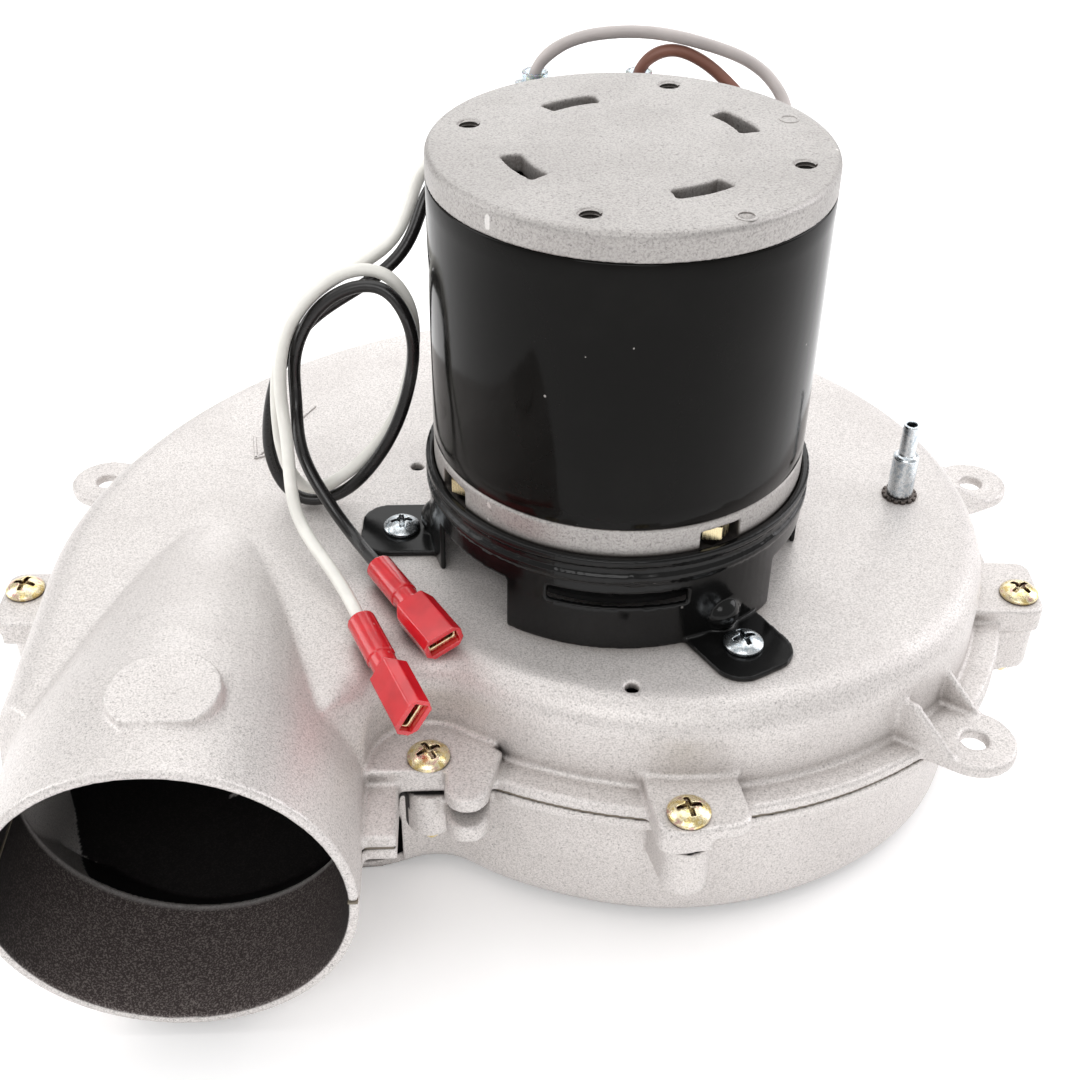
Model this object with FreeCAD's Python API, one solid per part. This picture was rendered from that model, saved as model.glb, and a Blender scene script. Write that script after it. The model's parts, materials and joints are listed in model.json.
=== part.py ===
import FreeCAD, Part
import os
from math import atan2, cos, degrees, hypot, pi, radians, sin, sqrt
from FreeCAD import Vector

# Combustion fan: a two-piece cast scroll with a round outlet, an upright motor on a stamped
# bracket, and an impeller on the motor's shaft.  Millimetres, +Z up.  The origin is on the
# motor's axis at the casing's flat underside, and the outlet points along -Y.

os.makedirs("parts", exist_ok=True)

# --- casing ---------------------------------------------------------------------------------
CASING_H = 66.0
PARTING_Z = 42.0
WALL = 2.2
SEAL_T = 0.5
TOP_FILLET = 8.0
BOTTOM_FILLET = 9.0
FLANGE_W = 7.0
FLANGE_T = 3.2
TUBE_X = -95.2
TUBE_R = 38.1
TUBE_END_Y = -91.0
HUMP_START_Y = -62.0
HUMP_END_Y = 7.0
HUMP_END_R = CASING_H - PARTING_Z
TONGUE_R = 61.0
TONGUE_FILLET = 13.5
SPIRAL = [(-105, 61.4), (-84, 65.0), (-68, 68.9), (-50, 74.5), (-28, 83.0), (-5, 89.2), (20, 95.2),
          (47, 101.3), (80, 108.3), (115, 115.6), (142, 121.8), (165, 128.6)]
SPIRAL_END_Y = -9.0
DUCT_END_Y = -66.0
SHAFT_HOLE_R = 8.0
INLET_R = 35.0
SIDE_HOLE_R = 1.6
SIDE_HOLE_PITCH_R = 55.3
SIDE_HOLE_ANGLES = (-90.4, 29.6, 149.0)

# --- casing lugs, ears and screws -----------------------------------------------------------
LUG_TOP_Z = 48.8
LUG_BACK = 7.0
LUG_FRONT = 13.0
LUG_OUT = 5.2
POST_R = 5.2
POST_BOTTOM_Z = 29.0
SLOT_TOP_Z = 45.4
LUG_SCREWS = [(-82.2, 76.2), (-3.4, 100.8), (62.0, 115.3), (122.0, 128.0), (179.2, 143.0)]
CORNER_SCREW = (-43.6, -57.8)
NOSE = (-35.4, -66.4)
NOSE_R = 4.8
BAR_END_Y = -77.2
LEFT_BAR_END_Y = -39.0
EAR_T = 3.0
EAR_TOP_Z = 45.2
EAR_R = 9.5
EAR_HOLE_R = 3.0
EAR_HOLES = [(77.4, -52.1), (104.3, 47.6), (-133.8, 54.5)]
GUSSET_T = 1.8
GUSSET_H = 11.0
PAD_TOP = TUBE_R + 1.2
SCREW_HEAD_R = 4.65
SCREW_HEAD_H = 2.9
SCREW_R = 2.0
SCREW_LENGTH = 24.0

# --- pressure tap ---------------------------------------------------------------------------
TAP_XY = (72.6, 12.8)
TAP_BODY_R = 3.15
TAP_BODY_H = 11.5
TAP_TUBE_R = 2.0
TAP_TUBE_H = 8.5
TAP_BORE_R = 1.25
WASHER_R = 4.3
WASHER_T = 0.8

# --- motor ----------------------------------------------------------------------------------
MOTOR_R = 42.0
SHELL_T = 1.2
BELL_Z = 90.3
SHELL_Z0 = 96.7
SHELL_Z1 = 156.9
MOTOR_TOP = 163.0
CAP_PLATE_T = 4.0
BOLT_ANGLE = 26.4
BOLT_PITCH_R = 38.2
BOLT_R = 1.9
NUT_AF = 7.0
NUT_H = 3.2
CAP_HOLE_R = 2.3
CAP_HOLE_PITCH_R = 34.8
CAP_HOLE_ANGLE = 71.6
CAP_SLOT_R = (23.2, 27.6)
CAP_SLOT_HALF = 14.0
SHAFT_R = 3.97
STATOR_Z = (108.0, 138.0)
STATOR_R = (24.0, 40.6)
ROTOR_R = 23.5
LEAD_EXITS = (136.0, 50.0)
LEAD_DZ = 1.9
LEAD_EXIT_Z = 144.0
GROMMET_R = 5.0

# --- bearings -------------------------------------------------------------------------------
BEARING_R = 11.0
OUTER_RACE_R = 9.0
INNER_RACE_R = 6.0
BALL_R = 1.45
BEARING_H = 7.0
LOWER_BEARING_Z = 84.6
UPPER_BEARING_Z = 149.0
BALL_COUNT = 8
BOSS_R = 13.5

# --- bracket --------------------------------------------------------------------------------
BRACKET_R = 43.3
BRACKET_T = 1.2
BRACKET_FLOOR_Z = 82.0
FOOT_PITCH_R = 50.4
FOOT_ANGLES = (-60.6, 59.4, 179.4)
FOOT_HALF_W = 9.6
FOOT_END_R = 60.0
LEG_TRAIL = -67.0
LEG_LEAD = 20.0
ARCH_Z = 79.0
SLOT_Z = (77.2, 81.0)
SLOT_SPAN = (-54.0, -13.0)
FOOT_HEAD_R = 4.4

# --- impeller and cooling fan ---------------------------------------------------------------
IMPELLER_R = 50.0
IMPELLER_Z = (8.0, 48.0)
IMPELLER_PLATE_T = 1.0
BLADE_COUNT = 12
BLADE_ROOT_R = 27.0
HUB_R = 9.0
HUB_Z = 14.0
FAN_Z = 72.0
FAN_R = 35.0
FAN_BLADES = 10

# --- capacitor and wires --------------------------------------------------------------------
CAP_X = -4.7
CAP_Y = 62.5
CAN_HALF_FLAT = 10.0
CAN_R = 15.0
CAN_TOP = 140.0
TERMINAL_DX = 12.4
TERMINAL_TOP = 151.0
STRAP_T = 0.9
STRAP_FOOT = 14.0
STRAP_Z = (96.0, 108.0)
WIRE_R = 1.5
WIRE_SECTION_STEP = 5.0
BLACK_SECTION_STEP = 4.6
LOOP_CENTRE = Vector(-64.5, 18.2, 94.4)
LOOP_ACROSS = Vector(17.2, 0.0, 5.8)
LOOP_UP = Vector(4.1, 6.8, 25.7)
BLACK_CONNECTOR = (Vector(-54.8, -18.2, 70.0), Vector(-39.8, -45.5, 70.4))
WHITE_CONNECTOR = (Vector(-57.8, -38.0, 70.6), Vector(-46.3, -65.5, 69.0))
BLACK_ROLL = 14.0
WHITE_ROLL = 60.0


# --- plain building blocks ------------------------------------------------------------------
def polar(radius, angle, z=0.0):
    return Vector(radius * cos(radians(angle)), radius * sin(radians(angle)), z)


def cylinder(radius, z0, z1, x=0.0, y=0.0):
    return Part.makeCylinder(radius, z1 - z0, Vector(x, y, z0))


def ring(outer, inner, z0, z1, x=0.0, y=0.0):
    return cylinder(outer, z0, z1, x, y).cut(cylinder(inner, z0 - 1, z1 + 1, x, y))


def block(x0, x1, y0, y1, z0, z1):
    return Part.makeBox(x1 - x0, y1 - y0, z1 - z0, Vector(x0, y0, z0))


def rod(radius, start, end):
    return Part.makeCylinder(radius, (end - start).Length, start, end - start)


def prism(points, vector):
    return Part.Face(Part.makePolygon(points + points[:1])).extrude(vector)


def turned(shape, angle):
    copy = shape.copy()
    copy.rotate(Vector(0, 0, 0), Vector(0, 0, 1), angle)
    return copy


def moved(shape, x, y, z=0.0):
    copy = shape.copy()
    copy.translate(Vector(x, y, z))
    return copy


def around(shape, angles):
    return [turned(shape, angle) for angle in angles]


def steps(count, first=0.0):
    return [first + 360.0 * i / count for i in range(count)]


def join(shapes):
    return shapes[0].multiFuse(shapes[1:]).removeSplitter()


def cut_all(shape, tools):
    return shape.cut(Part.makeCompound(tools))


def save(node, shape):
    shape.exportStep(f"parts/{node}.step")


def level_edges(shape, z):
    """Edges of a shape that lie flat at height z, apart from those on the duct's end face."""
    flat = []
    for edge in shape.Edges:
        ends = [v.Point for v in edge.Vertexes]
        level = all(abs(p.z - z) < 1e-4 for p in ends)
        at_end = all(abs(p.y - DUCT_END_Y) < 1e-4 for p in ends)
        if level and not at_end:
            flat.append(edge)
    return flat


# --- the scroll's outline -------------------------------------------------------------------
def fillet_centre():
    """Centre of the concave arc between the outlet's side and the start of the spiral."""
    x = TUBE_X + TUBE_R + TONGUE_FILLET
    reach = TONGUE_R + TONGUE_FILLET
    return Vector(x, -sqrt(reach * reach - x * x), 0)


def wall_radius(angle):
    """Radius of the scroll's outer wall at an angle about the motor's axis."""
    for (a0, r0), (a1, r1) in zip(SPIRAL, SPIRAL[1:]):
        if a0 <= angle <= a1:
            return r0 + (r1 - r0) * (angle - a0) / (a1 - a0)
    return -TUBE_X + TUBE_R


def make_ends_tangent(curve, start_way, end_way):
    """Moves the poles next to a curve's ends so that it starts and ends along given directions."""
    last = curve.NbPoles
    first_reach = (curve.getPole(2) - curve.getPole(1)).Length
    last_reach = (curve.getPole(last) - curve.getPole(last - 1)).Length
    curve.setPole(2, curve.getPole(1) + start_way * first_reach)
    curve.setPole(last - 1, curve.getPole(last) - end_way * last_reach)


def scroll_wire(inset, z, end_y=DUCT_END_Y):
    """Closed outline of the scroll in plan, moved inwards by inset."""
    left = TUBE_X - TUBE_R + inset
    right = TUBE_X + TUBE_R - inset
    centre = fillet_centre()
    radius = TONGUE_FILLET + inset
    to_axis = atan2(-centre.y, -centre.x)
    middle = (to_axis + pi) / 2
    arc_start = Vector(right, centre.y, z)
    arc_mid = Vector(centre.x + radius * cos(middle), centre.y + radius * sin(middle), z)
    touch = Vector(centre.x + radius * cos(to_axis), centre.y + radius * sin(to_axis), z)
    points = [touch]
    points += [polar(r - inset, a, z) for a, r in SPIRAL]
    points.append(Vector(left, SPIRAL_END_Y, z))
    spiral = Part.BSplineCurve()
    spiral.interpolate(points)
    make_ends_tangent(spiral, Vector(-touch.y, touch.x, 0).normalize(), Vector(0, -1, 0))
    corner_left = Vector(left, end_y, z)
    corner_right = Vector(right, end_y, z)
    edges = [spiral.toShape()]
    edges.append(Part.makeLine(points[-1], corner_left))
    edges.append(Part.makeLine(corner_left, corner_right))
    edges.append(Part.makeLine(corner_right, arc_start))
    edges.append(Part.Arc(arc_start, arc_mid, touch).toShape())
    return Part.Wire(edges)


def scroll_slab(inset, z0, z1, end_y=DUCT_END_Y):
    return Part.Face(scroll_wire(inset, z0, end_y)).extrude(Vector(0, 0, z1 - z0))


def outlet_tube(inset, start_y=HUMP_START_Y, end_y=TUBE_END_Y):
    end = Vector(TUBE_X, end_y, PARTING_Z)
    return rod(TUBE_R - inset, end, Vector(TUBE_X, start_y, PARTING_Z))


def duct_corner_cut(inset):
    """What is taken off the square duct so that it runs out into the round outlet."""
    y0 = DUCT_END_Y - 0.5
    y1 = -46.0
    spread = 0.75
    meet_y = -61.0
    r0 = TUBE_R - inset + spread * (y0 - meet_y)
    r1 = TUBE_R - inset + spread * (y1 - meet_y)
    kept = Part.makeCone(r0, r1, y1 - y0, Vector(TUBE_X, y0, PARTING_Z), Vector(0, 1, 0))
    around_duct = block(TUBE_X - TUBE_R - 2, TUBE_X + TUBE_R + 6, y0, y1, -5, CASING_H + 5)
    return around_duct.cut(kept)


def scroll_body(inset):
    """The whole scroll, both halves, as one solid moved inwards by inset."""
    z0 = inset
    z1 = CASING_H - inset
    slab = scroll_slab(inset, z0, z1)
    slab = slab.makeFillet(TOP_FILLET - inset, level_edges(slab, z1))
    slab = slab.makeFillet(BOTTOM_FILLET - inset, level_edges(slab, z0))
    slab = slab.cut(duct_corner_cut(inset))
    end_y = TUBE_END_Y - (1 if inset else 0)
    hump_h = HUMP_END_Y - HUMP_START_Y
    start = Vector(TUBE_X, HUMP_START_Y, PARTING_Z)
    hump = Part.makeCone(TUBE_R - inset, HUMP_END_R - inset, hump_h, start, Vector(0, 1, 0))
    return slab.multiFuse([outlet_tube(inset, HUMP_START_Y, end_y), hump])


def half_space(z0, z1):
    return block(-200, 200, -200, 200, z0, z1)


# --- casing details -------------------------------------------------------------------------
def flange(z0, z1):
    slab = scroll_slab(-FLANGE_W, z0, z1, BAR_END_Y)
    side = TUBE_X - TUBE_R
    cut = block(-200, side, -100, LEFT_BAR_END_Y, z0 - 1, z1 + 1)
    trim = block(-200, side - 5.2, -100, SPIRAL_END_Y, z0 - 1, z1 + 1)
    return slab.cut(cut).cut(trim)


def upper_lug(screw_r):
    """Screw lug on the +X side with a slot beside the screw for prising the halves apart."""
    x0 = screw_r - 17
    x1 = screw_r + LUG_OUT
    z0 = PARTING_Z + SEAL_T / 2
    plate = block(x0, x1, -LUG_BACK, LUG_FRONT, z0, LUG_TOP_Z)
    plate = plate.makeFillet(3.5, [e for e in plate.Edges if is_upright(e, x1)])
    slot = block(screw_r - 4, x1 + 1, POST_R - 1, LUG_FRONT - 0.6, z0 - 1, SLOT_TOP_Z)
    return plate.cut(slot)


def is_upright(edge, x):
    p, q = [v.Point for v in edge.Vertexes][:2]
    return abs(p.x - x) < 1e-4 and abs(q.x - x) < 1e-4 and abs(p.z - q.z) > 0.1


def lower_post(screw_r):
    z1 = PARTING_Z - SEAL_T / 2
    post = cylinder(POST_R, POST_BOTTOM_Z, z1, screw_r, 0)
    web_points = [Vector(screw_r, -POST_R, z1), Vector(screw_r - 18, -POST_R, z1),
                  Vector(screw_r - 18, -POST_R, POST_BOTTOM_Z - 6), Vector(screw_r, -POST_R, POST_BOTTOM_Z)]
    web = prism(web_points, Vector(0, 2 * POST_R, 0))
    return post.fuse(web)


def upper_corner_lug():
    """Half-round lug that fills the concave corner beside the outlet, with a round nose."""
    centre = fillet_centre()
    z0 = PARTING_Z + SEAL_T / 2
    disc = cylinder(TONGUE_FILLET + 0.6, z0, LUG_TOP_Z, centre.x, centre.y)
    disc = disc.cut(block(-80, 0, -100, centre.y - 1.4, z0 - 1, LUG_TOP_Z + 1))
    shoulder = [Vector(-40, -60, SLOT_TOP_Z), Vector(NOSE[0] - NOSE_R, NOSE[1], SLOT_TOP_Z),
                Vector(NOSE[0] + NOSE_R, NOSE[1], SLOT_TOP_Z), Vector(-27.6, -56.0, SLOT_TOP_Z),
                Vector(-36, -50, SLOT_TOP_Z)]
    arm = prism(shoulder, Vector(0, 0, LUG_TOP_Z - SLOT_TOP_Z))
    nose = cylinder(NOSE_R, SLOT_TOP_Z, LUG_TOP_Z, *NOSE)
    return join([disc, arm, nose])


def lower_corner_posts():
    z1 = PARTING_Z - SEAL_T / 2
    post = cylinder(5.6, POST_BOTTOM_Z + 1, z1, *CORNER_SCREW)
    web = block(CORNER_SCREW[0] - 5.6, CORNER_SCREW[0] + 5.6, CORNER_SCREW[1], -44, POST_BOTTOM_Z + 1, z1)
    nose = cylinder(NOSE_R, 36.5, z1 - 1, *NOSE)
    nose_web = block(NOSE[0] - NOSE_R, NOSE[0] + NOSE_R, NOSE[1], -50, 36.5, z1 - 1)
    return [post, web, nose, nose_web]


def ear(hole_x, hole_y):
    """Flat mounting ear with a rounded end and two triangular gussets up the wall."""
    angle = degrees(atan2(hole_y, hole_x))
    hole_r = hypot(hole_x, hole_y)
    wall = wall_radius(angle)
    z0 = EAR_TOP_Z - EAR_T
    z0 = max(z0, PARTING_Z + SEAL_T / 2)
    plate = block(wall - 4, hole_r, -EAR_R, EAR_R, z0, EAR_TOP_Z)
    tip = cylinder(EAR_R, z0, EAR_TOP_Z, hole_r, 0)
    side = [Vector(wall - 3.5, 0, z0), Vector(wall - 3.5, 0, EAR_TOP_Z + GUSSET_H),
            Vector(wall + 0.5, 0, EAR_TOP_Z + GUSSET_H), Vector(hole_r - 1.5, 0, EAR_TOP_Z),
            Vector(hole_r - 1.5, 0, z0)]
    gusset = prism(side, Vector(0, GUSSET_T, 0))
    gussets = [moved(gusset, 0, -EAR_R + 0.3), moved(gusset, 0, EAR_R - 0.3 - GUSSET_T)]
    return turned(join([plate, tip] + gussets), angle)


def outlet_pad():
    z1 = PARTING_Z + PAD_TOP
    pad = cylinder(11.3, PARTING_Z + 30, z1, TUBE_X + 1.5, -69.8)
    return pad.cut(block(-130, -60, -90, -79.0, PARTING_Z, z1 + 1))


def screw_positions():
    spots = [polar(r, a) for a, r in LUG_SCREWS]
    return spots + [Vector(CORNER_SCREW[0], CORNER_SCREW[1], 0)]


def casing_upper(outer, inner):
    z0 = PARTING_Z + SEAL_T / 2
    shell = outer.common(half_space(z0, 200))
    extras = [flange(z0, PARTING_Z + FLANGE_T), upper_corner_lug(), outlet_pad()]
    extras += [turned(upper_lug(r), a) for a, r in LUG_SCREWS]
    extras += [ear(x, y) for x, y in EAR_HOLES]
    holes = [inner, cylinder(SHAFT_HOLE_R, CASING_H - 10, CASING_H + 10)]
    holes += [cylinder(SCREW_R + 0.25, z0 - 1, LUG_TOP_Z + 1, p.x, p.y) for p in screw_positions()]
    holes += [cylinder(EAR_HOLE_R, 30, 60, x, y) for x, y in EAR_HOLES]
    for angle in SIDE_HOLE_ANGLES:
        p = polar(SIDE_HOLE_PITCH_R, angle)
        holes.append(cylinder(SIDE_HOLE_R, CASING_H - 10, CASING_H + 5, p.x, p.y))
    for angle in FOOT_ANGLES:
        p = polar(FOOT_PITCH_R, angle)
        holes.append(cylinder(1.7, CASING_H - 10, CASING_H + 5, p.x, p.y))
    holes.append(cylinder(TAP_TUBE_R, CASING_H - 10, CASING_H + 5, *TAP_XY))
    strap_x = CAP_X + CAN_HALF_FLAT + CAN_R + STRAP_T + STRAP_FOOT / 2
    holes.append(cylinder(1.7, CASING_H - 10, CASING_H + 5, strap_x, CAP_Y))
    return cut_all(join([shell] + extras), holes)


def casing_lower(outer, inner):
    z1 = PARTING_Z - SEAL_T / 2
    shell = outer.common(half_space(-10, z1))
    extras = [flange(PARTING_Z - FLANGE_T, z1)]
    extras += [turned(lower_post(r), a) for a, r in LUG_SCREWS]
    extras += lower_corner_posts()
    holes = [inner, cylinder(INLET_R, -5, 10)]
    depth = LUG_TOP_Z - SCREW_LENGTH - 1
    holes += [cylinder(SCREW_R, depth, z1 + 1, p.x, p.y) for p in screw_positions()]
    lip = ring(INLET_R + 3, INLET_R, WALL - 0.1, 7.0)
    return cut_all(join([shell] + extras), holes).fuse(lip)


def casing_seal(inner):
    z0 = PARTING_Z - SEAL_T / 2
    z1 = PARTING_Z + SEAL_T / 2
    slab = scroll_slab(-FLANGE_W + 0.5, z0, z1, BAR_END_Y + 0.4)
    side = TUBE_X - TUBE_R
    slab = slab.cut(block(-200, side + 0.2, -100, LEFT_BAR_END_Y + 0.4, z0 - 1, z1 + 1))
    slab = slab.cut(block(-200, side - 4.8, -100, SPIRAL_END_Y, z0 - 1, z1 + 1))
    rim = block(side + 0.2, TUBE_X + TUBE_R - 0.2, TUBE_END_Y, BAR_END_Y + 1, z0, z1)
    holes = [inner] + [cylinder(SCREW_R + 0.2, z0 - 1, z1 + 1, p.x, p.y) for p in screw_positions()]
    return cut_all(join([slab, rim]), holes)


# --- screws ---------------------------------------------------------------------------------
def pan_screw(head_r, head_h, shank_r, length):
    """Cross-recess pan screw with its seat at z = 0 and its point downwards."""
    edge = 0.9
    rise = head_h - edge
    ball_r = (head_r * head_r + rise * rise) / (2 * rise)
    dome = Part.makeSphere(ball_r, Vector(0, 0, head_h - ball_r))
    head = cylinder(head_r, 0, head_h).common(dome)
    recess_w = head_r * 0.24
    reach = head_r * 0.58
    depth = head_h - 1.5
    bars = [block(-reach, reach, -recess_w / 2, recess_w / 2, depth, head_h + 1),
            block(-recess_w / 2, recess_w / 2, -reach, reach, depth, head_h + 1),
            Part.makeCone(0.3, recess_w * 1.3, head_h - depth + 0.2, Vector(0, 0, depth))]
    shank = cylinder(shank_r, -length + 1.2, 0.2)
    point = Part.makeCone(shank_r * 0.6, shank_r, 1.2, Vector(0, 0, -length))
    return cut_all(join([head, shank, point]), bars)


def casing_screws():
    screw = pan_screw(SCREW_HEAD_R, SCREW_HEAD_H, SCREW_R - 0.02, SCREW_LENGTH)
    turns = [12, 40, 65, 20, 75, 30]
    placed = [moved(turned(screw, t), p.x, p.y, LUG_TOP_Z) for t, p in zip(turns, screw_positions())]
    return Part.makeCompound(placed)


# --- pressure tap ---------------------------------------------------------------------------
def pressure_tap():
    z0 = CASING_H + WASHER_T
    z1 = z0 + TAP_BODY_H
    x, y = TAP_XY
    body = cylinder(TAP_BODY_R, z0, z1, x, y)
    body = body.makeChamfer(0.6, [e for e in body.Edges if all(abs(v.Z - z1) < 1e-4 for v in e.Vertexes)])
    tube = cylinder(TAP_TUBE_R, z1 - 1, z1 + TAP_TUBE_H, x, y)
    stub = cylinder(TAP_TUBE_R - 0.05, CASING_H - 3.5, z0 + 1, x, y)
    return join([body, tube, stub]).cut(cylinder(TAP_BORE_R, 0, 200, x, y))


def tap_washer():
    x, y = TAP_XY
    disc = ring(WASHER_R, TAP_TUBE_R + 0.1, CASING_H, CASING_H + WASHER_T, x, y)
    notch = block(WASHER_R - 0.7, WASHER_R + 1, -0.3, 0.3, CASING_H - 1, CASING_H + 2)
    return cut_all(disc, [moved(n, x, y) for n in around(notch, steps(14))])


# --- motor ----------------------------------------------------------------------------------
def bolt_angles():
    return steps(4, BOLT_ANGLE)


def arc_slot(r0, r1, half, z0, z1):
    sector = prism([Vector(0, 0, z0), polar(60, -half, z0), polar(60, half, z0)], Vector(0, 0, z1 - z0))
    return ring(r1, r0, z0, z1).common(sector)


def motor_shell():
    shell = ring(MOTOR_R, MOTOR_R - SHELL_T, SHELL_Z0, SHELL_Z1)
    exits = [rod(GROMMET_R - 1.2, polar(30, a, LEAD_EXIT_Z), polar(60, a, LEAD_EXIT_Z)) for a in LEAD_EXITS]
    return cut_all(shell, exits)


def top_end_bell():
    plate_z = MOTOR_TOP - CAP_PLATE_T
    cap = cylinder(MOTOR_R, SHELL_Z1, MOTOR_TOP)
    cap = cap.makeFillet(1.4, [e for e in cap.Edges if all(abs(v.Z - MOTOR_TOP) < 1e-4 for v in e.Vertexes)])
    hollow = cylinder(36.0, SHELL_Z1 - 1, plate_z)
    spigot = ring(MOTOR_R - SHELL_T, 36.0, SHELL_Z1 - 7, SHELL_Z1 + 0.1)
    boss = cylinder(BOSS_R, UPPER_BEARING_Z, plate_z + 1)
    lugs = [cylinder(4.6, SHELL_Z1 - 7, plate_z + 1, p.x, p.y) for p in cap_hole_centres()]
    ears = [cylinder(4.2, SHELL_Z1 - 7, plate_z + 1, p.x, p.y) for p in bolt_centres()]
    inside = cylinder(MOTOR_R - SHELL_T, 100, plate_z + 1)
    ears = [e.common(inside) for e in ears]
    body = join([cap.cut(hollow), spigot, boss] + lugs + ears)
    slot = arc_slot(CAP_SLOT_R[0], CAP_SLOT_R[1], CAP_SLOT_HALF, plate_z - 2, MOTOR_TOP + 1)
    holes = around(slot, bolt_angles())
    holes += [cylinder(CAP_HOLE_R, 140, MOTOR_TOP + 1, p.x, p.y) for p in cap_hole_centres()]
    holes += [cylinder(BOLT_R, 140, SHELL_Z1 + 2, p.x, p.y) for p in bolt_centres()]
    holes.append(cylinder(BEARING_R, UPPER_BEARING_Z - 1, UPPER_BEARING_Z + BEARING_H))
    holes.append(cylinder(SHAFT_R + 2, UPPER_BEARING_Z, UPPER_BEARING_Z + BEARING_H + 3))
    dimple = polar(39.0, -63.0)
    holes.append(Part.makeSphere(2.4, Vector(dimple.x, dimple.y, MOTOR_TOP + 1.7)))
    return cut_all(body, holes)


def cap_hole_centres():
    return [polar(CAP_HOLE_PITCH_R, a) for a in steps(4, CAP_HOLE_ANGLE)]


def bolt_centres():
    return [polar(BOLT_PITCH_R, a) for a in bolt_angles()]


def bottom_end_bell():
    floor_z = BRACKET_FLOOR_Z + BRACKET_T
    band = ring(MOTOR_R, 34.0, BELL_Z, SHELL_Z0)
    foot = ring(MOTOR_R - 0.2, 34.0, floor_z, BELL_Z)
    spigot = ring(MOTOR_R - SHELL_T, 34.0, SHELL_Z0, SHELL_Z0 + 5)
    web_z = floor_z + 6
    web = cylinder(34.2, web_z, web_z + 3.5)
    boss = cylinder(BOSS_R, LOWER_BEARING_Z - 1.2, LOWER_BEARING_Z + BEARING_H + 1)
    body = join([band, foot, spigot, web, boss])
    notch = block(33, 44, -5, 5, BELL_Z - 1.5, BELL_Z + NUT_H + 0.8)
    holes = around(notch, bolt_angles())
    holes += [cylinder(BOLT_R, 80, 110, p.x, p.y) for p in bolt_centres()]
    holes.append(cylinder(BEARING_R, LOWER_BEARING_Z, LOWER_BEARING_Z + BEARING_H + 5))
    holes.append(cylinder(SHAFT_R + 2, 70, 100))
    return cut_all(body, holes)


def through_bolts():
    z0 = BELL_Z + 0.2
    bolts = [cylinder(BOLT_R - 0.02, z0, SHELL_Z1 + 1.5, p.x, p.y) for p in bolt_centres()]
    return Part.makeCompound(bolts)


def through_bolt_nuts():
    across = NUT_AF / sqrt(3)
    corners = [polar(across, a, 0) for a in steps(6)]
    nut = prism(corners, Vector(0, 0, NUT_H)).cut(cylinder(BOLT_R, -1, NUT_H + 1))
    z0 = BELL_Z + 0.8
    return Part.makeCompound([moved(turned(nut, a), p.x, p.y, z0) for a, p in zip(bolt_angles(), bolt_centres())])


def stator_core():
    core = ring(STATOR_R[1], STATOR_R[0], *STATOR_Z)
    groove = cylinder(BOLT_R + 0.6, 100, 150, BOLT_PITCH_R, 0)
    relief = block(BOLT_PITCH_R, BOLT_PITCH_R + 5, -BOLT_R - 0.6, BOLT_R + 0.6, 100, 150)
    tooth_gap = block(STATOR_R[0] - 1, STATOR_R[0] + 1.5, -0.8, 0.8, 100, 150)
    cuts = around(groove, bolt_angles()) + around(relief, bolt_angles()) + around(tooth_gap, steps(24))
    return cut_all(core, cuts)


def stator_windings():
    """The end turns above and below the core, as two rounded rings."""
    rings = []
    for z0, z1 in ((STATOR_Z[0] - 11, STATOR_Z[0]), (STATOR_Z[1], STATOR_Z[1] + 7)):
        coil = ring(33.4, 26.0, z0, z1)
        far = z0 if z0 < STATOR_Z[0] else z1
        coil = coil.makeFillet(2.5, [e for e in coil.Edges if all(abs(v.Z - far) < 1e-4 for v in e.Vertexes)])
        rings.append(coil)
    return Part.makeCompound(rings)


def shaft():
    body = cylinder(SHAFT_R, 14, MOTOR_TOP - CAP_PLATE_T - 1.5)
    return body.fuse(cylinder(3.0, 7.2, 14.5))


def rotor_core():
    return ring(ROTOR_R, SHAFT_R, *STATOR_Z)


def rotor_end_rings():
    lower = ring(21.5, 15.0, STATOR_Z[0] - 4, STATOR_Z[0])
    upper = ring(21.5, 15.0, STATOR_Z[1], STATOR_Z[1] + 4)
    return Part.makeCompound([lower, upper])


def bearing_part(outer, inner):
    rings = [ring(outer, inner, z, z + BEARING_H) for z in (LOWER_BEARING_Z, UPPER_BEARING_Z)]
    return rings


def bearing_balls(z0):
    middle = z0 + BEARING_H / 2
    pitch = (OUTER_RACE_R + INNER_RACE_R) / 2
    return Part.makeCompound([Part.makeSphere(BALL_R, polar(pitch, a, middle)) for a in steps(BALL_COUNT)])


def grommets():
    made = []
    for angle in LEAD_EXITS:
        centre = polar(MOTOR_R, angle, LEAD_EXIT_Z)
        out = polar(1.0, angle)
        body = rod(GROMMET_R - 1.25, centre - out * 2.2, centre + out * 2.6)
        head = rod(GROMMET_R, centre + out * 0.3, centre + out * 2.2)
        bores = [rod(WIRE_R + 0.34, centre + Vector(0, 0, dz) - out * 5, centre + Vector(0, 0, dz) + out * 6)
                 for dz in (-LEAD_DZ, LEAD_DZ)]
        made.append(cut_all(body.fuse(head), bores))
    return Part.makeCompound(made)


# --- bracket --------------------------------------------------------------------------------
def wedge(a0, a1, z0, z1):
    points = [Vector(0, 0, z0)] + [polar(90, a0 + (a1 - a0) * i / 4, z0) for i in range(5)]
    return prism(points, Vector(0, 0, z1 - z0))


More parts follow.
